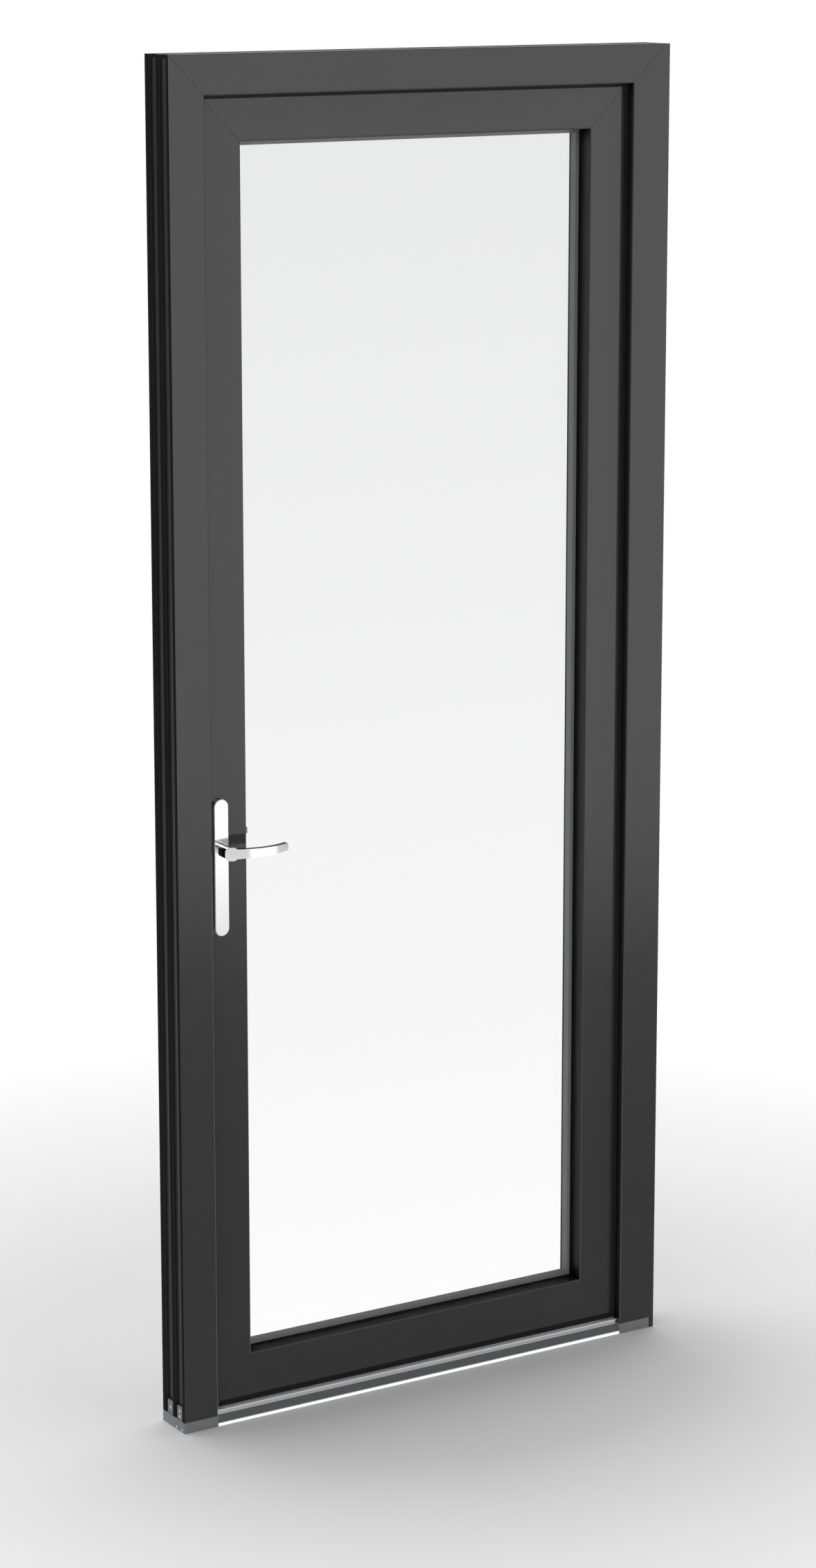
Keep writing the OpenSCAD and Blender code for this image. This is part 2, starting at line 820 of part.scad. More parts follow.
// Beads on the inside hold the glass unit against the leg
module bead(k) {
  bead_r = 4;
  color(ANTHRACITE)
    translate([0, leaf_y, leaf_z])
      on_side(k, leaf_w, leaf_h)
        bar(side_length(k, leaf_w, leaf_h), rebate_u, leaf_face, leaf_d)
          difference() {
            polygon(concat(
              [[rebate_u, bead_v], [leaf_face, bead_v]],
              arc([leaf_face - bead_r, leaf_d - bead_r], bead_r, 0, 90),
              [[rebate_u, leaf_d]]
            ));
            rect([rebate_u + wall, leaf_face - wall - 1], [bead_v + wall, leaf_d - wall - 1]);
          }
}

module left_bead() {
  bead(LEFT);
}

module right_bead() {
  bead(RIGHT);
}

module top_bead() {
  bead(TOP);
}

module bottom_bead() {
  bead(BOTTOM);
}

// Blocks that carry and centre the glass unit in the rebate
module setting_blocks() {
  inset = 150;
  color(GREY_PLASTIC)
    translate([0, leaf_y, leaf_z])
      for (k = [LEFT : BOTTOM], end = [0, 1])
        on_side(k, leaf_w, leaf_h)
          translate([rebate_u, glass_v, end == 0 ? inset : side_length(k, leaf_w, leaf_h) - inset - block_l])
            cube([glass_u - rebate_u, unit_t, block_l]);
}

module hinge_places() {
  for (z = hinge_z)
    translate([hinge_x, hinge_y, z])
      children();
}

// Lower knuckle on a plate that is screwed to the frame's inner face
module hinge_frame_plates() {
  plate_y = -barrel_r - barrel_gap;
  plate_depth = barrel_gap - pass_gap;
  web_w = 2 * barrel_r - 6;
  color(SATIN)
    hinge_places()
      difference() {
        union() {
          translate([0, 0, -hinge_l / 2])
            cylinder(r = barrel_r, h = hinge_l / 2 - pass_gap / 2);
          translate([-web_w / 2, plate_y, -hinge_l / 2])
            cube([web_w, -plate_y, hinge_l / 2 - pass_gap / 2]);
          translate([-web_w / 2, plate_y, -hinge_l / 2])
            cube([frame_plate_w, plate_depth, hinge_l]);
        }
        translate([0, 0, -hinge_l / 2 + 3])
          cylinder(r = pin_r, h = hinge_l);
      }
}

// Upper knuckle on a plate that is screwed to the leaf's inner face
module hinge_leaf_plates() {
  plate_y = leaf_y + leaf_d - hinge_y;
  lap_edge = frame_w / 2 - edge_in + lap_w - hinge_x;
  color(SATIN)
    hinge_places()
      difference() {
        union() {
          translate([0, 0, pass_gap / 2])
            cylinder(r = barrel_r, h = hinge_l / 2 - pass_gap / 2);
          translate([lap_edge, plate_y, pass_gap / 2])
            cube([-lap_edge, hinge_t, hinge_l / 2 - pass_gap / 2]);
          translate([lap_edge - leaf_plate_w, plate_y, -hinge_l / 2])
            cube([leaf_plate_w, hinge_t, hinge_l]);
        }
        translate([0, 0, -hinge_l])
          cylinder(r = pin_r + turn_fit, h = 3 * hinge_l / 2 - 3);
      }
}

module hinge_pins() {
  color(ZINC)
    hinge_places()
      translate([0, 0, -hinge_l / 2 + 3])
        cylinder(r = pin_r, h = hinge_l - 6.5);
}

// Mirrors the outer handle set to the inside: local -Y points away from the leaf
module on_face(inside) {
  translate([spindle_x, inside ? leaf_y + leaf_d : leaf_y, spindle_z])
    mirror([0, inside ? 1 : 0, 0])
      children();
}

// Upright plate with round ends: X across, Z up, from the leaf's face at y = 0 to y = -t
module round_ended(w, low, high, t, w_front) {
  rotate([90, 0, 0]) {
    for (z = [low + w / 2, high - w / 2])
      translate([0, z, 0])
        cylinder(r1 = w / 2, r2 = w_front / 2, h = t);
    translate([0, low + w / 2, 0])
      rotate([-90, 0, 0])
        linear_extrude(high - low - w)
          polygon([[-w / 2, 0], [w / 2, 0], [w_front / 2, -t], [-w_front / 2, -t]]);
  }
}

bolt_z = [plate_top - bolt_inset, plate_top - plate_h + bolt_inset];

// Hollow plate with a bearing ring for the lever and two posts for the bolts
module backplate() {
  skin = 2.5;
  low = plate_top - plate_h;
  difference() {
    union() {
      round_ended(plate_w, low, plate_top, plate_t - plate_chamfer, plate_w);
      translate([0, plate_chamfer - plate_t, 0])
        round_ended(plate_w, low, plate_top, plate_chamfer, plate_w - 2 * plate_chamfer);
    }
    difference() {
      translate([0, 1, 0])
        round_ended(plate_w - 2 * skin, low + skin, plate_top - skin, plate_t + 1 - skin, plate_w - 2 * skin);
      rotate([90, 0, 0])
        cylinder(r = journal_r + skin, h = plate_t);
      for (z = bolt_z)
        translate([0, 0, z])
          rotate([90, 0, 0])
            cylinder(r = bolt_r + skin, h = plate_t);
    }
    rotate([90, 0, 0])
      cylinder(r = journal_r + turn_fit, h = 3 * plate_t, center = true);
  }
}

module outer_backplate() {
  color(SATIN)
    difference() {
      on_face(false)
        backplate();
      bolt_holes(0);
    }
}

module inner_backplate() {
  color(SATIN)
    difference() {
      on_face(true)
        backplate();
      bolt_holes(plate_t);
      on_face(true)
        for (z = bolt_z)
          translate([0, -plate_t, z])
            rotate([-90, 0, 0])
              cylinder(r1 = bolt_head_r + turn_fit, r2 = bolt_r + turn_fit, h = bolt_head_h);
    }
}

bolt_head_r = 4.5;
bolt_head_h = 2.4;
bolt_depth = 5;

// Blind in the outer plate, open on the inner face
module bolt_holes(inner) {
  for (z = bolt_z)
    translate([spindle_x, leaf_y - bolt_depth, spindle_z + z])
      rotate([-90, 0, 0])
        cylinder(r = bolt_r + turn_fit, h = bolt_depth + leaf_d + inner + 1);
}

// Countersunk bolts that join the two backplates through the stile
module plate_bolts() {
  color(ZINC)
    for (z = bolt_z)
      translate([spindle_x, leaf_y - bolt_depth, spindle_z + z])
        rotate([-90, 0, 0])
          difference() {
            length = bolt_depth + leaf_d + plate_t;
            union() {
              cylinder(r = bolt_r, h = length);
              translate([0, 0, length - bolt_head_h])
                cylinder(r1 = bolt_r, r2 = bolt_head_r, h = bolt_head_h);
            }
            translate([0, 0, length - 1.4])
              cylinder(r = 1.9, h = 2, $fn = 6);
          }
}

// Section of the lever's hub: an upright rectangle with round corners
module hub_section() {
  x = hub_w / 2 - hub_round;
  z = hub_h / 2 - hub_round;
  steps = 8;
  polygon(concat(
    arc([x, z], hub_round, 0, 90, steps),
    arc([-x, z], hub_round, 90, 180, steps),
    arc([-x, -z], hub_round, 180, 270, steps),
    arc([x, -z], hub_round, 270, 360, steps)
  ));
}

// Outline of the grip: it leaves the hub in a fillet and tapers to a squared tip
module grip_outline() {
  tip_r = 2;
  root_r = 6;
  root_end = hub_h / 2 - 0.5;
  root_a = 180 + asin(1 - (root_end - grip_h / 2) / root_r);
  root_x = hub_w / 2;
  polygon(concat(
    [[0, root_end], [0, -root_end]],
    arc([root_x, -grip_h / 2 - root_r], root_r, 360 - root_a, 90),
    arc([lever_l - tip_r, -grip_tip_h / 2 + tip_r], tip_r, -90, 0),
    arc([lever_l - tip_r, grip_tip_h / 2 - tip_r], tip_r, 0, 90),
    arc([root_x, grip_h / 2 + root_r], root_r, 270, root_a)
  ));
}

// Lever with a hub and a bowed, tapering grip
module lever() {
  bow_r = (pow(lever_l / 2, 2) + pow(lever_bow, 2)) / (2 * lever_bow);
  bow_c = [lever_l / 2, bow_r - lever_proj - lever_bow];
  difference() {
    union() {
      rotate([90, 0, 0])
        cylinder(r = journal_r, h = plate_t + 1);
      intersection() {
        translate([0, -plate_t - pass_gap, 0])
          rotate([90, 0, 0])
            linear_extrude(lever_proj + lever_bow)
              hub_section();
        translate([bow_c[0], bow_c[1], 0])
          cylinder(r = bow_r, h = 2 * hub_h, center = true, $fn = 180);
      }
      intersection() {
        translate([bow_c[0], bow_c[1], 0])
          difference() {
            cylinder(r = bow_r, h = 2 * hub_h, center = true, $fn = 180);
            cylinder(r = bow_r - lever_t, h = 3 * hub_h, center = true, $fn = 180);
          }
        rotate([90, 0, 0])
          linear_extrude(lever_proj + 2 * lever_bow)
            grip_outline();
      }
    }
    cube([spindle_s + 2 * turn_fit, 2 * spindle_bite, spindle_s + 2 * turn_fit], center = true);
  }
}

spindle_bite = 26;

module outer_lever() {
  color(SATIN)
    on_face(false)
      lever();
}

module inner_lever() {
  color(SATIN)
    on_face(true)
      lever();
}

module spindle() {
  length = leaf_d + 2 * spindle_bite - 1;
  color(ZINC)
    translate([spindle_x - spindle_s / 2, leaf_y - spindle_bite + 0.5, spindle_z - spindle_s / 2])
      cube([spindle_s, length, spindle_s]);
}

// Gear data: tooth thickness at the pitch line, pressure angle and tooth heights
tooth_pitch = 2 * PI * pitch_r / pinion_teeth;
gear_module = tooth_pitch / PI;
tooth_thick = tooth_pitch / 2 - backlash;
pressure = 20;
base_r = pitch_r * cos(pressure);
tip_r = pitch_r + gear_module;
root_r = pitch_r - 1.25 * gear_module;
hub_journal_r = 7.6;

// Half the angle that a tooth takes up at radius r
function involute(a) = tan(a) * 180 / PI - a;
function half_angle(r) = tooth_thick / (2 * pitch_r) * 180 / PI + involute(pressure) - involute(acos(min(1, base_r / r)));

flank_r = concat([root_r], [for (i = [0 : 4]) base_r + (tip_r - base_r) * i / 4]);
function tooth_points(mid) = concat(
  [for (r = flank_r) r * [cos(mid - half_angle(max(r, base_r))), sin(mid - half_angle(max(r, base_r)))]],
  [for (i = [5 : -1 : 0]) let (r = flank_r[i]) r * [cos(mid + half_angle(max(r, base_r))), sin(mid + half_angle(max(r, base_r)))]]
);

// Local frame of the gearbox: X and Z as in the door, Y from the groove's axis
module in_gearbox() {
  translate([spindle_x, fitting_y, spindle_z])
    children();
}

// Pinion on the spindle; a gap between teeth faces the rack in the rest position
module pinion() {
  step = 360 / pinion_teeth;
  color(ZINC)
    in_gearbox()
      rotate([90, 0, 0])
        difference() {
          union() {
            linear_extrude(gear_w, center = true)
              polygon([for (i = [0 : pinion_teeth - 1]) each tooth_points(180 + (i + 0.5) * step)]);
            cylinder(r = hub_journal_r, h = case_t - 0.4, center = true);
          }
          cube([spindle_s + 2 * turn_fit, spindle_s + 2 * turn_fit, 2 * case_t], center = true);
        }
}

case_u = [fitting_u + slide_fit - backset, leaf_web_u - leaf_steel_w - web - slide_fit - backset];
room_half = gear_w / 2 + pass_gap;
room_z = [-rail_travel - rack_room, rail_travel + rack_room];

module case_half(y_from, y_to) {
  translate([case_u[0], y_from, -case_down])
    cube([case_u[1] - case_u[0], y_to - y_from, case_up + case_down]);
}

// Case: rear wall and rim, open towards the drive rail
module gearbox_case() {
  color(ZINC)
    in_gearbox()
      difference() {
        case_half(-case_t / 2, room_half);
        translate([case_u[0] - 1, -room_half, room_z[0]])
          cube([backset - fitting_u + tip_r + pass_gap + 1, 3 * room_half, room_z[1] - room_z[0]]);
        rotate([90, 0, 0])
          cylinder(r = hub_journal_r + turn_fit, h = 2 * case_t, center = true);
      }
}

module gearbox_cover() {
  color(ZINC)
    in_gearbox()
      difference() {
        case_half(room_half, case_t / 2);
        rotate([90, 0, 0])
          cylinder(r = hub_journal_r + turn_fit, h = 2 * case_t, center = true);
      }
}

rail_u = [faceplate_t + 0.5, faceplate_t + 0.5 + drive_t];

// Rack in mesh with the pinion, with a shoulder that meets the drive rail
module rack_slide() {
  pitch_x = -pitch_r;
  below = floor((rail_travel + tooth_pitch) / tooth_pitch);
  above = 2;
  root_x = pitch_x - 1.25 * gear_module;
  slope = tan(pressure);
  low = -(below + 0.5) * tooth_pitch;
  high = (above + 0.5) * tooth_pitch;
  color(ZINC)
    in_gearbox()
      rotate([90, 0, 0])
        linear_extrude(gear_w, center = true)
          polygon(concat(
            [[rail_u[1] - backset, high], [rail_u[1] - backset, low], [root_x, low]],
            [for (i = [-below : above]) each [
              [root_x, i * tooth_pitch - tooth_thick / 2 - 1.25 * gear_module * slope],
              [pitch_x + gear_module, i * tooth_pitch - tooth_thick / 2 + gear_module * slope],
              [pitch_x + gear_module, i * tooth_pitch + tooth_thick / 2 - gear_module * slope],
              [root_x, i * tooth_pitch + tooth_thick / 2 + 1.25 * gear_module * slope]
            ]],
            [[root_x, high]]
          ));
}

// Flat rail that slides in the leaf's edge behind the faceplate
module drive_rail() {
  below = 30;
  color(ZINC)
    translate([leaf_edge_x + rail_u[0], fitting_y - drive_w / 2, lock_low - below])
      cube([drive_t, drive_w, lock_high - lock_low + 2 * below]);
}

module locking_rollers() {
  color(ZINC)
    for (z = lock_z)
      translate([leaf_edge_x - roller_reach, fitting_y, z])
        rotate([0, 90, 0])
          cylinder(r = roller_r, h = roller_reach + rail_u[0]);
}

// Cover strip in the groove's mouth, slotted for the rollers
module faceplate() {
  slot_r = roller_r + pass_gap;
  color(SATIN)
    difference() {
      translate([leaf_edge_x, fitting_y - fitting_half, lock_low - faceplate_end])
        cube([faceplate_t, fitting_groove_w, lock_high - lock_low + rail_travel + 2 * faceplate_end]);
      for (z = lock_z)
        translate([leaf_edge_x, fitting_y, z]) {
          for (end = [0, rail_travel])
            translate([0, 0, end])
              rotate([0, 90, 0])
                cylinder(r = slot_r, h = 3 * faceplate_t, center = true);
          translate([-faceplate_t, -slot_r, 0])
            cube([3 * faceplate_t, 2 * slot_r, rail_travel]);
        }
    }
}

left_jamb();
right_jamb();
head();
side_strip();
frame_steel();
stop_gasket();
threshold_outer();
threshold_insert();
threshold_inner();
threshold_gasket();
rail_caps();
left_end_block();
right_end_block();
block_screws();
keeps();
hinge_frame_plates();
hinge_pins();
lock_stile();
hinge_stile();
top_rail();
bottom_rail();
leaf_steel();
lap_gasket();
outer_pane();
inner_pane();
spacer_bar();
edge_seal();
outer_glazing_gasket();
inner_glazing_gasket();
left_bead();
right_bead();
top_bead();
bottom_bead();
setting_blocks();
hinge_leaf_plates();
outer_backplate();
inner_backplate();
plate_bolts();
gearbox_case();
gearbox_cover();
faceplate();
outer_lever();
inner_lever();
spindle();
pinion();
drive_rail();
rack_slide();
locking_rollers();
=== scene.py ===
"""Looks of the glass terrace door: materials, screw heads, studio and camera, in the part's frame in metres."""
import json
import math

import bmesh
import bpy
from mathutils import Matrix, Vector


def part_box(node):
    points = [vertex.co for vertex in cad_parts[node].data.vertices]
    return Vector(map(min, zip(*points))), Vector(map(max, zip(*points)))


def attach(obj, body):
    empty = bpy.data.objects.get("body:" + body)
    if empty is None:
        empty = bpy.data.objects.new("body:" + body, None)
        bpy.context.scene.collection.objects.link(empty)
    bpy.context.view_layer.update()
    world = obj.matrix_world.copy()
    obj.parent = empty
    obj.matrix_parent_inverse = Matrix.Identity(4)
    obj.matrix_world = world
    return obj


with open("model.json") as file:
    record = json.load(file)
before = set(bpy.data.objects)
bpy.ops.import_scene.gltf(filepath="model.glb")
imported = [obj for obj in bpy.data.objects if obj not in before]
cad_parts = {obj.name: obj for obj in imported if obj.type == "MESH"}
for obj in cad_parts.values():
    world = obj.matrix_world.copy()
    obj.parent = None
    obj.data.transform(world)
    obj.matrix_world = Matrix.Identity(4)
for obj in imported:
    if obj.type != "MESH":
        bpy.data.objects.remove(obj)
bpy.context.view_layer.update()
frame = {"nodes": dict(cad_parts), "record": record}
NODES = frame["nodes"]

# Camera of the photograph, taken to be 1180 by 2268 pixels
IMAGE_H = 2268
FOCAL_PX = 5623.255
CAMERA_AT = (-3.563912, -5.730017, 2.646075)
CAMERA_YAW = 31.8443
CAMERA_PITCH = 11.7951
AXIS_PX = (4.915, -102.346)
SENSOR_MM = 36.0
CAMERA_REACH = 1000.0

# Linear colours
FOIL = (0.046, 0.046, 0.047)
BARE = (0.005, 0.005, 0.0053)
# Painted light for the grooves along the top of the head
TOP_PAINTED_LIGHT = (0.24, 0.24, 0.245)
RUBBER = (0.007, 0.007, 0.0073)
ALUMINIUM = (0.74, 0.76, 0.77)
BLOCK_GREY = (0.21, 0.23, 0.245)
SPACER_GREY = (0.35, 0.353, 0.357)
SATIN = (0.94, 0.94, 0.94)
ZINC = (0.52, 0.54, 0.56)
INSERT = (0.020, 0.020, 0.021)
SCREW = (0.78, 0.79, 0.80)
GLASS_CLEAR = (1.0, 1.0, 1.0)
# Painted shade at the top of the glass
GLASS_TOP_SHADE = (0.905, 0.907, 0.907)
GLASS_SHADOW = (0.55, 0.55, 0.55, 1)
FLOOR_DARK = (0.84, 0.84, 0.84)
FLOOR_LIGHT = (0.86, 0.86, 0.86)
WHITE = (1, 1, 1, 1)

# Film on the profiles
FILM_ROUGHNESS = (0.10, 0.13)
FILM_GLOSS = 0.5
# Outer side of the frame, where the ribs between the grooves are bare, dark and dull
SIDE_X = -0.5
RIB_SKIN = 0.0008
BARE_ROUGHER, BARE_DULLER = 0.35, 0.4
# Painted shade: ambient occlusion darkens the film's colour and dims its gloss in hollows, within this reach, and
# this strongly
SHADE_PAINT_REACH, SHADE_PAINT_STRENGTH = 0.03, 3.0
SHADE_PAINT_SAMPLES = 8
# Painted light: pale grey painted into the grooves along the top of the head, where the top is lit
TOP_LIGHT_DEPTH, TOP_LIGHT_BEHIND, TOP_LIGHT_INSET = 0.0065, 0.002, 0.022
HEAD_LOW, HEAD_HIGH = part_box("head")
# Parts of the normal at which a metal face counts as upward, and between which as a chamfered rim
UPWARD = (0.88, 0.93)
RIM_START, RIM_END = (0.4, 0.6), (0.85, 0.97)
# Heights between which painted shade darkens the glass, deepest at the top
GLASS_SHADE_SPAN = (0.1, 2.3)
GLASS_IOR = 1.18

# Sockets of the colour mixing node
MIX_FIRST, MIX_SECOND, MIX_RESULT = 6, 7, 2


class Nodes:
    """A node tree with a few helpers, where a value is a socket or a number."""

    def __init__(self, tree):
        self.tree = tree

    def add(self, kind, **values):
        made = self.tree.nodes.new(kind)
        for key, value in values.items():
            setattr(made, key, value)
        return made

    def link(self, a, b):
        self.tree.links.new(a, b)

    def give(self, value, socket):
        if isinstance(value, (int, float)):
            socket.default_value = value
        else:
            self.link(value, socket)

    def math(self, operation, *values):
        made = self.add("ShaderNodeMath", operation=operation)
        for value, socket in zip(values, made.inputs):
            self.give(value, socket)
        return made.outputs["Value"]

    def between(self, value, low, high, start=0.3, end=0.7, kind="LINEAR"):
        """Goes from low to high while the value goes from start to end."""
        made = self.add("ShaderNodeMapRange", interpolation_type=kind)
        for key, number in (("From Min", start), ("From Max", end), ("To Min", low), ("To Max", high)):
            self.give(number, made.inputs[key])
        self.link(value, made.inputs["Value"])
        return made.outputs["Result"]

    def mix(self, factor, first, second):
        """Blends two shaders."""
        made = self.add("ShaderNodeMixShader")
        for value, socket in zip((factor, first, second), made.inputs):
            self.link(value, socket)
        return made.outputs["Shader"]


class Shader(Nodes):
    """A new material built round its Principled shader."""

    def __init__(self, name):
        self.material = bpy.data.materials.new(name)
        self.material.use_nodes = True
        super().__init__(self.material.node_tree)
        self.bsdf = self.tree.nodes["Principled BSDF"]
        self.surface = self.tree.nodes["Material Output"].inputs["Surface"]
        self.coords = self.add("ShaderNodeTexCoord").outputs["Object"]

    def set(self, **values):
        for key, value in values.items():
            self.bsdf.inputs[key.replace("_", " ")].default_value = value

    def drive(self, key, value):
        self.link(value, self.bsdf.inputs[key])

    def axis(self, name, source="Object"):
        """One part of the object's coordinates, or of its normal."""
        split = self.add("ShaderNodeSeparateXYZ")
        self.link(self.add("ShaderNodeTexCoord").outputs[source], split.inputs["Vector"])
        return split.outputs[name]

    def stretched(self, scale):
        mapping = self.add("ShaderNodeMapping")
        mapping.inputs["Scale"].default_value = scale
        self.link(self.coords, mapping.inputs["Vector"])
        return mapping.outputs["Vector"]

    def noise(self, scale, detail=3.0, vector=None):
        made = self.add("ShaderNodeTexNoise")
        made.inputs["Scale"].default_value = scale
        made.inputs["Detail"].default_value = detail
        self.link(vector or self.coords, made.inputs["Vector"])
        return made.outputs["Fac"]

    def colours(self, factor, dark, light, start=0.3, end=0.7):
        ramp = self.add("ShaderNodeValToRGB")
        for element, position, colour in zip(ramp.color_ramp.elements, (start, end), (dark, light)):
            element.position = position
            element.color = (*colour, 1)
        self.link(factor, ramp.inputs["Fac"])
        return ramp.outputs["Color"]

    def mottle(self, factor, colour, low, high, **reach):
        """A colour that wanders between two shares of itself."""
        return self.colours(factor, shade(colour, low), shade(colour, high), **reach)

    def blend(self, factor, first, second):
        """Blends two colours."""
        made = self.add("ShaderNodeMix", data_type="RGBA")
        self.link(factor, made.inputs["Factor"])
        self.link(first, made.inputs[MIX_FIRST])
        self.link(second, made.inputs[MIX_SECOND])
        return made.outputs[MIX_RESULT]

    def bump(self, height, strength, distance):
        made = self.add("ShaderNodeBump")
        made.inputs["Strength"].default_value = strength
        made.inputs["Distance"].default_value = distance
        self.link(height, made.inputs["Height"])
        self.drive("Normal", made.outputs["Normal"])


def shade(colour, factor):
    return tuple(min(1.0, c * factor) for c in colour)


def foil():
    """Smooth dark film with faint mottling and grain; painted shade in hollows, bare on ribs, and painted light
    in the grooves along the top of the head.
    """
    s = Shader("foil")
    cloud = s.noise(scale=5.0, detail=4.0)
    # Painted shade: ambient occlusion darkens the film in hollows and on faces turned away from the front
    painted_shade = s.add("ShaderNodeAmbientOcclusion", samples=SHADE_PAINT_SAMPLES)
    painted_shade.inputs["Distance"].default_value = SHADE_PAINT_REACH
    sideways = s.math("SUBTRACT", 1.0, s.math("ABSOLUTE", s.axis("Y", "Normal")))
    unshaded_share = s.math("POWER", painted_shade.outputs["AO"], s.math("MULTIPLY", sideways, SHADE_PAINT_STRENGTH))
    film_with_painted_shade = s.add("ShaderNodeVectorMath", operation="SCALE")
    s.link(s.mottle(cloud, FOIL, 0.96, 1.04), film_with_painted_shade.inputs["Vector"])
    s.link(unshaded_share, film_with_painted_shade.inputs["Scale"])
    bare = s.math("LESS_THAN", s.axis("X"), SIDE_X + RIB_SKIN)
    skin = s.blend(bare, film_with_painted_shade.outputs["Vector"], s.mottle(cloud, BARE, 0.9, 1.1))
    # Painted light: pale grey painted into the grooves along the top of the head
    behind = s.math("GREATER_THAN", s.axis("Y"), HEAD_LOW[1] + TOP_LIGHT_BEHIND)
    high = s.math("GREATER_THAN", s.axis("Z"), HEAD_HIGH[2] - TOP_LIGHT_DEPTH)
    inward = s.math("GREATER_THAN", s.axis("X"), SIDE_X + TOP_LIGHT_INSET)
    painted_light_groove = s.math("MULTIPLY", s.math("MULTIPLY", behind, high), inward)
    s.drive("Base Color", s.blend(painted_light_groove, skin, s.mottle(cloud, TOP_PAINTED_LIGHT, 0.95, 1.05)))
    roughness = s.between(s.noise(scale=40.0), *FILM_ROUGHNESS)
    s.drive("Roughness", s.math("ADD", roughness, s.math("MULTIPLY", bare, BARE_ROUGHER)))
    gloss = s.math("SUBTRACT", FILM_GLOSS, s.math("MULTIPLY", bare, BARE_DULLER))
    # Painted shade also dims the gloss in hollows
    s.drive("Specular IOR Level", s.math("MULTIPLY", gloss, unshaded_share))
    s.bump(s.noise(scale=2600.0, detail=2.0), strength=0.03, distance=0.0002)
    return s.material


def rubber():
    """Black seals with a matt, slightly uneven skin."""
    s = Shader("seal_rubber")
    s.drive("Base Color", s.mottle(s.noise(scale=60.0), RUBBER, 0.8, 1.3))
    s.drive("Roughness", s.between(s.noise(scale=200.0), 0.50, 0.65))
    s.set(Specular_IOR_Level=0.15)
    s.bump(s.noise(scale=1800.0, detail=2.0), strength=0.12, distance=0.0002)
    return s.material


def plastic(name, colour, roughness, spread=0.05):
    """Moulded surface with a fine grain."""
    s = Shader(name)
    s.drive("Base Color", s.mottle(s.noise(scale=30.0), colour, 0.93, 1.07))
    s.drive("Roughness", s.between(s.noise(scale=120.0), roughness - spread, roughness + spread))
    s.bump(s.noise(scale=1500.0, detail=2.0), strength=0.15, distance=0.0002)
    return s.material


def metal(name, colour, roughness, stretch, spread, matt_top=0.0, matt_rim=0.0):
    """Metal with the fine lines of rolling or brushing; upward faces or chamfered rims can be duller."""
    s = Shader(name)
    lines = s.noise(scale=1.0, detail=4.0, vector=s.stretched(stretch))
    s.drive("Base Color", s.mottle(lines, colour, 0.985, 1.015))
    s.drive("Roughness", s.between(lines, roughness - spread, roughness + spread))
    s.set(Metallic=1.0)
    if matt_top:
        s.drive("Metallic", s.between(s.axis("Z", "Normal"), 1.0, 1.0 - matt_top, *UPWARD))
    if matt_rim:
        turned = s.math("ABSOLUTE", s.axis("Y", "Normal"))
        inner = s.between(turned, 1.0, 1.0 - matt_rim, *RIM_START)
        s.drive("Metallic", s.math("MAXIMUM", inner, s.between(turned, 0.0, 1.0, *RIM_END)))
    s.bump(lines, strength=0.01, distance=0.0001)
    return s.material


def zinc():
    """Bright zinc plating with faint crystals."""
    s = Shader("zinc_plating")
    cells = s.add("ShaderNodeTexVoronoi")
    cells.inputs["Scale"].default_value = 130.0
    s.link(s.coords, cells.inputs["Vector"])
    tone = s.add("ShaderNodeRGBToBW")
    s.link(cells.outputs["Color"], tone.inputs["Color"])
    s.drive("Base Color", s.mottle(tone.outputs["Val"], ZINC, 0.9, 1.1, start=0.2, end=0.8))
    s.drive("Roughness", s.between(tone.outputs["Val"], 0.30, 0.42, start=0.2, end=0.8))
    s.set(Metallic=1.0)
    return s.material


def spacer():
    """Rolled spacer bar between the panes."""
    s = Shader("spacer_metal")
    lines = s.noise(scale=1.0, vector=s.stretched((300.0, 900.0, 300.0)))
    s.drive("Base Color", s.mottle(lines, SPACER_GREY, 0.96, 1.04))
    s.drive("Roughness", s.between(lines, 0.18, 0.24))
    s.set(Metallic=0.3)
    s.bump(lines, strength=0.03, distance=0.0001)
    return s.material


def glass():
    """Clear panes with painted shade that darkens them slightly towards the top; they keep back a part of the
    light to the floor.
    """
    s = Shader("float_glass")
    # Painted shade: the panes darken towards the top
    height = s.between(s.axis("Z"), 0.0, 1.0, *GLASS_SHADE_SPAN)
    s.drive("Base Color", s.colours(height, GLASS_CLEAR, GLASS_TOP_SHADE, start=0.0, end=1.0))
    s.set(Roughness=0.0, IOR=GLASS_IOR, Transmission_Weight=1.0)
    path = s.add("ShaderNodeLightPath")
    clear = s.add("ShaderNodeBsdfTransparent")
    clear.inputs["Color"].default_value = GLASS_SHADOW
    s.link(s.mix(path.outputs["Is Shadow Ray"], s.bsdf.outputs["BSDF"], clear.outputs["BSDF"]), s.surface)
    return s.material


# Stretch of the fine lines: along X on rolled bars, along Z on brushed plates, along the grip on levers
ROLLED, BRUSHED, BUFFED = (1.0, 900.0, 900.0), (1800.0, 1800.0, 25.0), (30.0, 900.0, 900.0)
MATERIALS = {
    "profile": foil(),
    "gasket": rubber(),
    "threshold": metal("anodised_aluminium", ALUMINIUM, 0.13, ROLLED, spread=0.004, matt_top=0.8),
    "insert": plastic("insert_plastic", INSERT, 0.5),
    "end_block": plastic("block_plastic", BLOCK_GREY, 0.42),
    "glass": glass(),
    "spacer": spacer(),
    "satin_metal": metal("satin_metal", SATIN, 0.16, BRUSHED, spread=0.01),
    "zinc_steel": zinc(),
}
POLISHED = metal("polished_metal", SATIN, 0.10, BUFFED, spread=0.01)
PLATE = metal("plate_metal", SATIN, 0.16, BRUSHED, spread=0.01, matt_rim=0.9)
NODE_MATERIALS = {
    "outer_backplate": PLATE,
    "inner_backplate": PLATE,
    "outer_lever": POLISHED,
    "inner_lever": POLISHED,
    "block_screws": plastic("screw_metal", SCREW, 0.3),
}


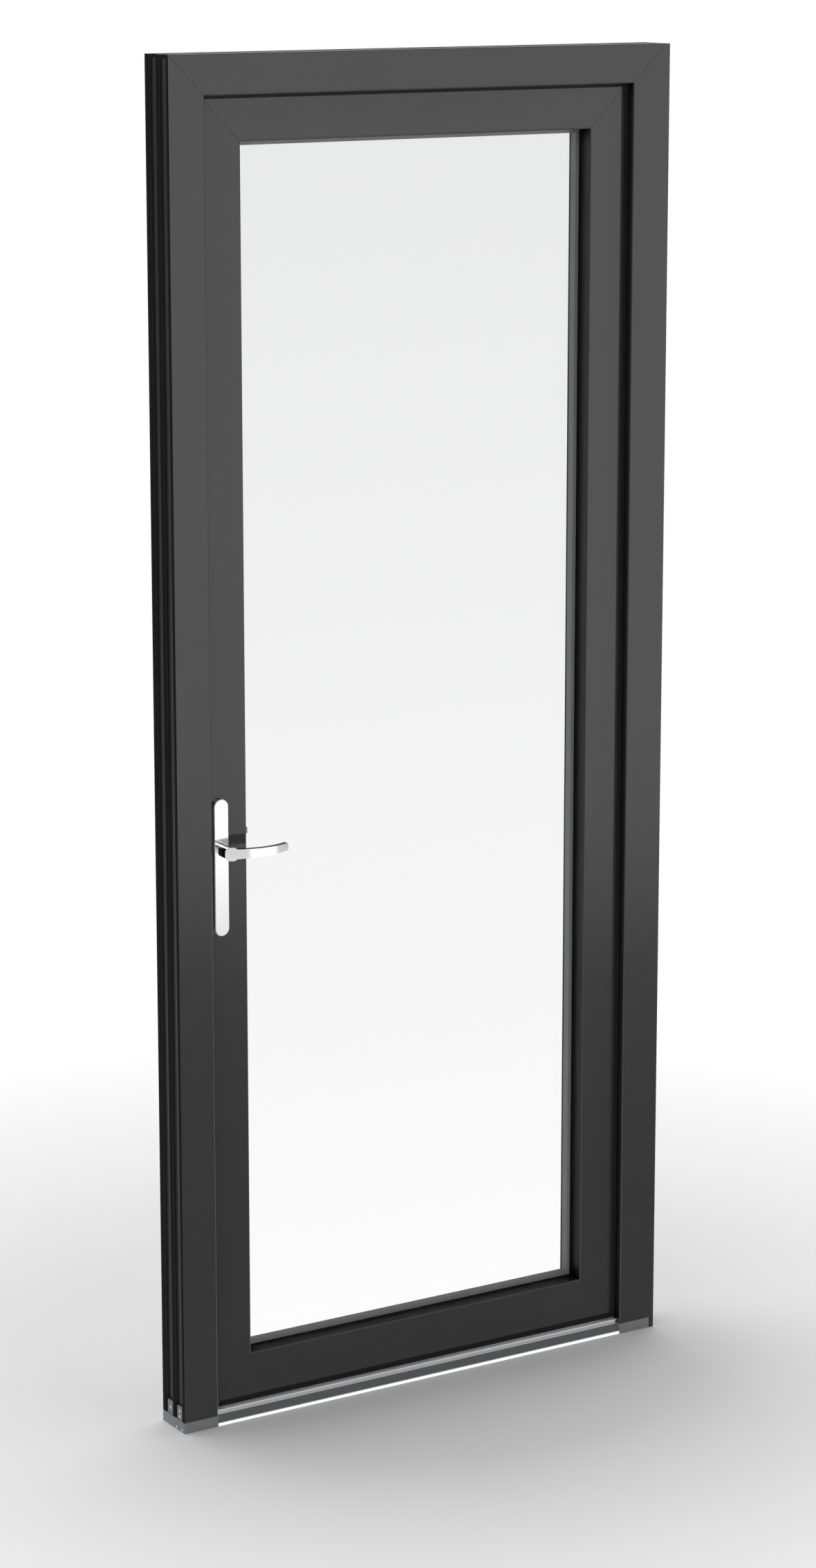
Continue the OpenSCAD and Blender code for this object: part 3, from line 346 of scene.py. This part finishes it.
def dress_nodes():
    """Gives each node its own material, or the one of its slot in the record."""
    slots = {p["node"]: p["material_slot"] for p in frame["record"]["subparts"]}
    for name, node in NODES.items():
        node.data.materials.clear()
        node.data.materials.append(NODE_MATERIALS.get(name) or MATERIALS[slots[name]])


# Edges of the cast levers: radius, steps round it, the angle from which an edge counts, and what joins points
LEVER_EDGE = 0.0012
EDGE_STEPS = 4
SHARP_ANGLE = 35.0
WELD_REACH = 0.00002


def soften(node):
    """Rounds the edges of a cast solid and smooths its curved faces."""
    weld = node.modifiers.new("weld", "WELD")
    weld.merge_threshold = WELD_REACH
    bevel = node.modifiers.new("soft_edges", "BEVEL")
    bevel.width = LEVER_EDGE
    bevel.segments = EDGE_STEPS
    bevel.limit_method = "ANGLE"
    bevel.angle_limit = math.radians(SHARP_ANGLE)
    normals = node.modifiers.new("smooth_faces", "WEIGHTED_NORMAL")
    normals.keep_sharp = False


# Points that agree to this many digits are one point
POINT_DIGITS = 5


def solid_boxes(name):
    """Lowest and highest corners of each separate solid of a node, from the bottom up."""
    mesh = NODES[name].data
    points = [tuple(round(c, POINT_DIGITS) for c in v.co) for v in mesh.vertices]
    parent = {p: p for p in points}

    def root(point):
        while parent[point] != point:
            parent[point] = parent[parent[point]]
            point = parent[point]
        return point

    for face in mesh.polygons:
        for corner in face.vertices[1:]:
            parent[root(points[corner])] = root(points[face.vertices[0]])
    groups = {}
    for point in parent:
        groups.setdefault(root(point), []).append(point)
    boxes = []
    for group in groups.values():
        axes = list(zip(*group))
        boxes.append([Vector([min(axis) for axis in axes]), Vector([max(axis) for axis in axes])])
    return sorted(boxes, key=lambda box: box[0].z)


# Screw heads: height of the rim, height of the top, share of the radius at the top
HEAD_RIM, HEAD_TOP, HEAD_CROWN = 0.0003, 0.0008, 0.82
HEAD_SIDES = 28
# Cross recess: depth, and its arms' reach and half width as shares of the head's radius
CROSS_DEPTH, CROSS_REACH, CROSS_HALF = 0.0006, 0.55, 0.13
CROSS_ARMS = 4


def add_head(bm, radius):
    """Adds a low screw head with a cross recess at the origin, facing +Z; returns its points."""
    turns = [2 * math.pi * i / HEAD_SIDES for i in range(HEAD_SIDES)]
    profile = ((radius, 0.0), (radius, HEAD_RIM), (radius * HEAD_CROWN, HEAD_TOP))
    rings = [[bm.verts.new((r * math.cos(a), r * math.sin(a), h)) for a in turns] for r, h in profile]
    reach, half = radius * CROSS_REACH, radius * CROSS_HALF
    arm = ((reach, -half), (reach, half), (half, half))
    outline = []
    for _ in range(CROSS_ARMS):
        outline += arm
        arm = tuple((-y, x) for x, y in arm)
    cross = [[bm.verts.new((x, y, h)) for x, y in outline] for h in (HEAD_TOP, HEAD_TOP - CROSS_DEPTH)]
    for low, high in ((rings[0], rings[1]), (rings[1], rings[2]), (cross[0], cross[1])):
        for i in range(len(low)):
            j = (i + 1) % len(low)
            bm.faces.new((low[i], low[j], high[j], high[i]))
    bm.faces.new(rings[0])
    bm.faces.new(cross[1])
    rim = []
    for loop in (rings[2], cross[0]):
        rim += [bm.edges.get((loop[i - 1], loop[i])) for i in range(len(loop))]
    bmesh.ops.triangle_fill(bm, use_beauty=True, edges=rim)
    return sum(rings + cross, [])


def screw_heads(name, body, places, facing, radius):
    """One piece with a screw head at each place on a body."""
    bm = bmesh.new()
    turn = Vector((0, 0, 1)).rotation_difference(Vector(facing)).to_matrix().to_4x4()
    for place in places:
        bmesh.ops.transform(bm, matrix=Matrix.Translation(place) @ turn, verts=add_head(bm, radius))
    bmesh.ops.recalc_face_normals(bm, faces=bm.faces)
    mesh = bpy.data.meshes.new(name)
    bm.to_mesh(mesh)
    bm.free()
    mesh.materials.append(MATERIALS["zinc_steel"])
    piece = bpy.data.objects.new(name, mesh)
    bpy.context.scene.collection.objects.link(piece)
    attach(piece, body)


# Distance from which a surface is looked for
START_AWAY = 0.1


def on_surface(node, start, towards):
    """First point of a node that is met from a start point, or None."""
    met, point, _, _ = NODES[node].ray_cast(start, towards)
    return point if met else None


PLATE_SCREW_R = 0.0036
PLATE_MARGIN = 0.0075
PLATE_SHARES = (0.14, 0.5, 0.86)


def make_plate_screws(node, body, edge, inward):
    """Three screws down the free edge of each hinge plate; the edge is 0 at low X or 1 at high X."""
    places = []
    for box in solid_boxes(node):
        x = box[edge].x + inward * PLATE_MARGIN
        for share in PLATE_SHARES:
            z = box[0].z + share * (box[1].z - box[0].z)
            places.append(on_surface(node, Vector((x, box[1].y + START_AWAY, z)), Vector((0, -1, 0))))
    screw_heads(node + "_screws", body, places, (0, 1, 0), PLATE_SCREW_R)


KEEP_SCREW_R = 0.0034
KEEP_BASE = 0.002
KEEP_HOLE_Y, KEEP_HOLE_LOW, KEEP_HOLE_HIGH = 0.0042, 0.0045, 0.0035


def make_keep_screws():
    """Two screws in the holes of each keep."""
    places = []
    for low, high in solid_boxes("keeps"):
        for z in (low.z + KEEP_HOLE_LOW, high.z - KEEP_HOLE_HIGH):
            places.append(Vector((low.x + KEEP_BASE, low.y + KEEP_HOLE_Y, z)))
    screw_heads("keep_screws", "frame", places, (1, 0, 0), KEEP_SCREW_R)


RAIL_SCREW_R = 0.0032
RAIL_SCREWS = 11
RAIL_MARGIN = 0.012
SUNK = 0.0006


def make_faceplate_screws():
    """Sunk screws along the faceplate, left out where a roller's slot is."""
    low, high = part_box("faceplate")
    y = (low[1] + high[1]) / 2
    step = (high[2] - low[2] - 2 * RAIL_MARGIN) / (RAIL_SCREWS - 1)
    places = []
    for i in range(RAIL_SCREWS):
        start = Vector((low[0] - START_AWAY, y, low[2] + RAIL_MARGIN + step * i))
        point = on_surface("faceplate", start, Vector((1, 0, 0)))
        if point and point.x - low[0] < SUNK:
            places.append(point + Vector((SUNK, 0, 0)))
    screw_heads("faceplate_screws", "leaf", places, (-1, 0, 0), RAIL_SCREW_R)


# Floor: where it starts to fade to the white background, where it is white, and from which point
FADE_START, FADE_END = 0.62, 1.9
FADE_CENTRE = (0.05, 0.2, 0.0)
FLOOR_SIZE = 400.0
# A ray that was mirrored at least once has a glossy depth above this
MIRRORED = 0.5


def make_floor():
    """Pale floor that keeps the door's shadow and fades to the white background further out."""
    bpy.ops.mesh.primitive_plane_add(size=FLOOR_SIZE, location=(0, 0, 0))
    floor = bpy.context.object
    floor.name = "floor"
    s = Shader("floor_pale")
    s.drive("Base Color", s.colours(s.noise(scale=2.0), FLOOR_DARK, FLOOR_LIGHT))
    s.set(Roughness=0.9, Specular_IOR_Level=0.0)
    far = s.add("ShaderNodeVectorMath", operation="DISTANCE")
    s.link(s.coords, far.inputs[0])
    far.inputs[1].default_value = FADE_CENTRE
    fade = s.between(far.outputs["Value"], 0.0, 1.0, FADE_START, FADE_END)
    white = s.add("ShaderNodeEmission")
    path = s.add("ShaderNodeLightPath")
    seen = s.math("MULTIPLY", path.outputs["Is Camera Ray"], fade)
    direct = s.math("LESS_THAN", path.outputs["Glossy Depth"], MIRRORED)
    through = s.math("MULTIPLY", path.outputs["Is Transmission Ray"], direct)
    amount = s.math("MAXIMUM", seen, through)
    s.link(s.mix(amount, s.bsdf.outputs["BSDF"], white.outputs["Emission"]), s.surface)
    floor.data.materials.append(s.material)
    floor.visible_glossy = False


# Levels of the studio: as light on matt surfaces, and as seen in shiny ones
LIGHT_FRONT, LIGHT_BACK = 0.38, 1.40
SHINE_BAND, SHINE_BESIDE, SHINE_STRIP, SHINE_ABOVE = 1.50, 0.40, 1.50, 0.085
SHINE_FLOOR, SHINE_FLOOR_BESIDE = 0.34, 1.50
SHINE_BACK, SHINE_BACK_FLOOR, SHINE_HORIZON = 0.15, 0.42, 0.80
# Direction that the front faces mirror, and shares of it between which the studio changes
AHEAD = (0.5, -0.866, 0)
BAND_SIDE = (0.84, 0.935)
BACK_TO_FRONT = (-0.15, 0.25)
LIGHT_TURN = (-0.5, 0.5)
# Elevations in degrees between which the studio changes, from the floor up
BAND_START, BAND_END = (-15.8, -13.4), (5, 10)
STRIP_START, STRIP_END = (25, 31), (45, 58)
BACK_START, HORIZON_START, HORIZON_END = (-16, -6), (-2, 1), (5, 12)


def make_world():
    """White to the camera; a soft studio that is lit mostly from behind and shows a dark floor in front."""
    world = bpy.data.worlds.new("studio")
    bpy.context.scene.world = world
    world.use_nodes = True
    world.cycles.sampling_method = "NONE"
    n = Nodes(world.node_tree)
    n.tree.nodes.clear()
    direction = n.add("ShaderNodeTexCoord").outputs["Generated"]

    def along(vector):
        made = n.add("ShaderNodeVectorMath", operation="DOT_PRODUCT")
        n.link(direction, made.inputs[0])
        made.inputs[1].default_value = vector
        return made.outputs["Value"]

    def smooth(value, window, low, high):
        return n.between(value, low, high, *window, kind="SMOOTHSTEP")

    def rising(window, low, high):
        return smooth(up, [math.sin(math.radians(degrees)) for degrees in window], low, high)

    def background(level):
        made = n.add("ShaderNodeBackground")
        made.inputs["Color"].default_value = WHITE
        n.give(level, made.inputs["Strength"])
        return made.outputs["Background"]

    up = along((0, 0, 1))
    ahead = along(AHEAD)
    band = smooth(ahead, BAND_SIDE, SHINE_BESIDE, SHINE_BAND)
    ground = smooth(ahead, BAND_SIDE, SHINE_FLOOR_BESIDE, SHINE_FLOOR)
    low_front = rising(BAND_START, ground, band)
    gap_front = rising(BAND_END, low_front, SHINE_ABOVE)
    strip_front = rising(STRIP_START, gap_front, SHINE_STRIP)
    front = rising(STRIP_END, strip_front, SHINE_ABOVE)
    low_back = rising(BACK_START, SHINE_BACK_FLOOR, SHINE_BACK)
    far_back = rising(HORIZON_START, low_back, SHINE_HORIZON)
    back = rising(HORIZON_END, far_back, SHINE_ABOVE)
    shine = smooth(ahead, BACK_TO_FRONT, back, front)
    light = smooth(along((0, 1, 0)), LIGHT_TURN, LIGHT_FRONT, LIGHT_BACK)
    path = n.add("ShaderNodeLightPath")
    seen = n.math("MAXIMUM", path.outputs["Is Camera Ray"], path.outputs["Is Transmission Ray"])
    mirrored = n.math("GREATER_THAN", path.outputs["Glossy Depth"], MIRRORED)
    straight = n.mix(seen, background(light), background(1.0))
    n.link(n.mix(mirrored, straight, background(shine)), n.add("ShaderNodeOutputWorld").inputs["Surface"])


def make_camera():
    """Camera at the photograph's view."""
    data = bpy.data.cameras.new("photo_camera")
    data.sensor_width = SENSOR_MM
    data.lens = FOCAL_PX * SENSOR_MM / IMAGE_H
    data.shift_x = -AXIS_PX[0] / IMAGE_H
    data.shift_y = AXIS_PX[1] / IMAGE_H
    data.clip_end = CAMERA_REACH
    camera = bpy.data.objects.new("photo_camera", data)
    camera.location = CAMERA_AT
    camera.rotation_euler = (math.radians(90 - CAMERA_PITCH), 0, math.radians(-CAMERA_YAW))
    bpy.context.scene.collection.objects.link(camera)
    bpy.context.scene.camera = camera


dress_nodes()
for lever in ("outer_lever", "inner_lever"):
    soften(NODES[lever])
make_plate_screws("hinge_frame_plates", "frame", edge=1, inward=-1)
make_plate_screws("hinge_leaf_plates", "leaf", edge=0, inward=1)
make_keep_screws()
make_faceplate_screws()
make_floor()
make_world()
make_camera()
bpy.context.scene.view_settings.view_transform = "Standard"
